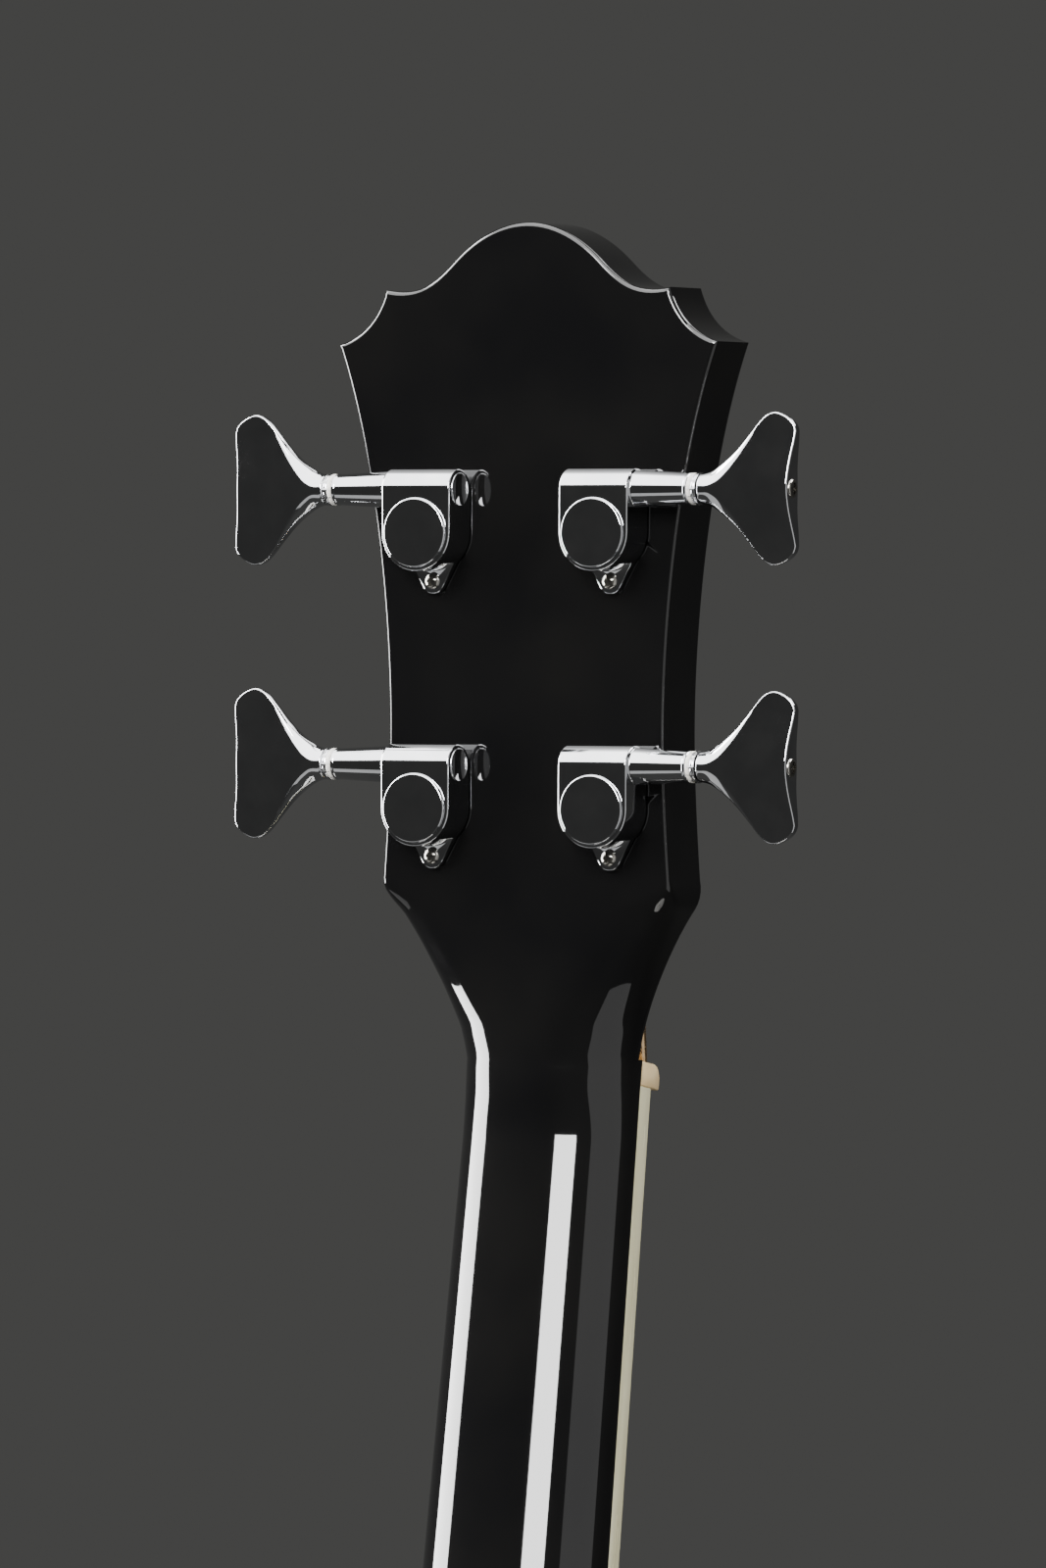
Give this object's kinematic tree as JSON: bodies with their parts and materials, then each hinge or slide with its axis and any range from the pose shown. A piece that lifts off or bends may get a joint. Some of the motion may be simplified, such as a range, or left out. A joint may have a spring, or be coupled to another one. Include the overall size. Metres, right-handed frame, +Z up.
{
  "type": "acoustic bass guitar",
  "caption": "Acoustic bass guitar with a black cutaway box, bound fingerboard, fretted neck and angled headstock with worm-geared tuners.",
  "frame": {"origin": "on the centreline at the face of the nut that meets the fingerboard, in the plane of the soundboard, where the arms of a wall hanger carry the flare of the headstock", "axes": "+Z up the neck to the headstock, +Y out of the back, -Y the side of the strings, +X the treble side with the cutaway"},
  "size_m": [0.4, 0.1262, 1.2099],
  "materials": {
    "lacquer": "gloss black polyester lacquer over wood",
    "ivory": "aged ivory coloured binding, polished",
    "bone": "warm cream bone, polished",
    "rosewood": "oiled dark rosewood, satin",
    "spruce": "bare spruce, matte",
    "mahogany": "bare mahogany, matte",
    "chrome": "polished chrome plate",
    "bronze": "phosphor bronze round winding",
    "steel": "plain steel",
    "plastic": "black moulded plastic"
  },
  "bodies": {
    "root": {"soundboard": "lacquer", "sides": "lacquer", "back_plate": "lacquer", "neck": "lacquer", "headplate": "lacquer", "rosette": "ivory", "top_binding": "ivory", "back_binding": "ivory", "fingerboard_binding": "ivory", "heel_cap": "ivory", "top_lining": "mahogany", "back_lining": "mahogany", "neck_block": "mahogany", "tail_block": "mahogany", "cross_brace": "spruce", "transverse_brace": "spruce", "back_brace_upper": "spruce", "back_brace_middle": "spruce", "back_brace_lower": "spruce", "bridge_plate": "spruce", "bridge": "rosewood", "fingerboard": "rosewood", "saddle": "bone", "nut": "bone", "pickup_strip": "steel", "truss_rod": "steel", "heel_strap_button": "chrome", "endpin_jack": "chrome", "preamp_case": "plastic", "battery": "plastic", "bridge_pin_e": "plastic", "string_e": "bronze", "housing_e": "chrome", "bushing_e": "chrome", "bridge_pin_a": "plastic", "string_a": "bronze", "housing_a": "chrome", "bushing_a": "chrome", "bridge_pin_d": "plastic", "string_d": "bronze", "housing_d": "chrome", "bushing_d": "chrome", "bridge_pin_g": "plastic", "string_g": "bronze", "housing_g": "chrome", "bushing_g": "chrome"},
    "tuner_key_e": {"worm_shaft_e": "steel", "key_e": "chrome"},
    "tuner_post_e": {"post_e": "chrome"},
    "tuner_key_a": {"worm_shaft_a": "steel", "key_a": "chrome"},
    "tuner_post_a": {"post_a": "chrome"},
    "tuner_key_d": {"worm_shaft_d": "steel", "key_d": "chrome"},
    "tuner_post_d": {"post_d": "chrome"},
    "tuner_key_g": {"worm_shaft_g": "steel", "key_g": "chrome"},
    "tuner_post_g": {"post_g": "chrome"},
    "volume_control": {"volume_wheel": "plastic"},
    "tone_control": {"tone_wheel": "plastic"}
  },
  "joints": [
    {"name": "key_e_spin", "type": "hinge", "parent": "root", "child": "tuner_key_e", "pos_m": [-0.05, 0.03404, 0.07174], "axis": [1, 0, 0], "continuous": true},
    {"name": "post_e_spin", "type": "hinge", "parent": "root", "child": "tuner_post_e", "pos_m": [-0.024, 0.01065, 0.06506], "axis": [0, 0.9877, -0.1564], "continuous": true},
    {"name": "key_a_spin", "type": "hinge", "parent": "root", "child": "tuner_key_a", "pos_m": [-0.05, 0.04428, 0.13638], "axis": [1, 0, 0], "continuous": true},
    {"name": "post_a_spin", "type": "hinge", "parent": "root", "child": "tuner_post_a", "pos_m": [-0.024, 0.02089, 0.12971], "axis": [0, 0.9877, -0.1564], "continuous": true},
    {"name": "key_d_spin", "type": "hinge", "parent": "root", "child": "tuner_key_d", "pos_m": [0.05, 0.04428, 0.13638], "axis": [1, 0, 0], "continuous": true},
    {"name": "post_d_spin", "type": "hinge", "parent": "root", "child": "tuner_post_d", "pos_m": [0.024, 0.02089, 0.12971], "axis": [0, 0.9877, -0.1564], "continuous": true},
    {"name": "key_g_spin", "type": "hinge", "parent": "root", "child": "tuner_key_g", "pos_m": [0.05, 0.03404, 0.07174], "axis": [1, 0, 0], "continuous": true},
    {"name": "post_g_spin", "type": "hinge", "parent": "root", "child": "tuner_post_g", "pos_m": [0.024, 0.01065, 0.06506], "axis": [0, 0.9877, -0.1564], "continuous": true},
    {"name": "volume_turn", "type": "hinge", "parent": "root", "child": "volume_control", "pos_m": [-0.055, 0.009, -0.60806], "axis": [0, 1, 0], "range_deg": [-135, 135]},
    {"name": "tone_turn", "type": "hinge", "parent": "root", "child": "tone_control", "pos_m": [-0.055, 0.009, -0.63206], "axis": [0, 1, 0], "range_deg": [-135, 135]}
  ],
  "couplings": [
    {"joint": "post_e_spin", "follows": "key_e_spin", "ratio": 0.05},
    {"joint": "post_a_spin", "follows": "key_a_spin", "ratio": 0.05},
    {"joint": "post_d_spin", "follows": "key_d_spin", "ratio": -0.05},
    {"joint": "post_g_spin", "follows": "key_g_spin", "ratio": -0.05}
  ]
}
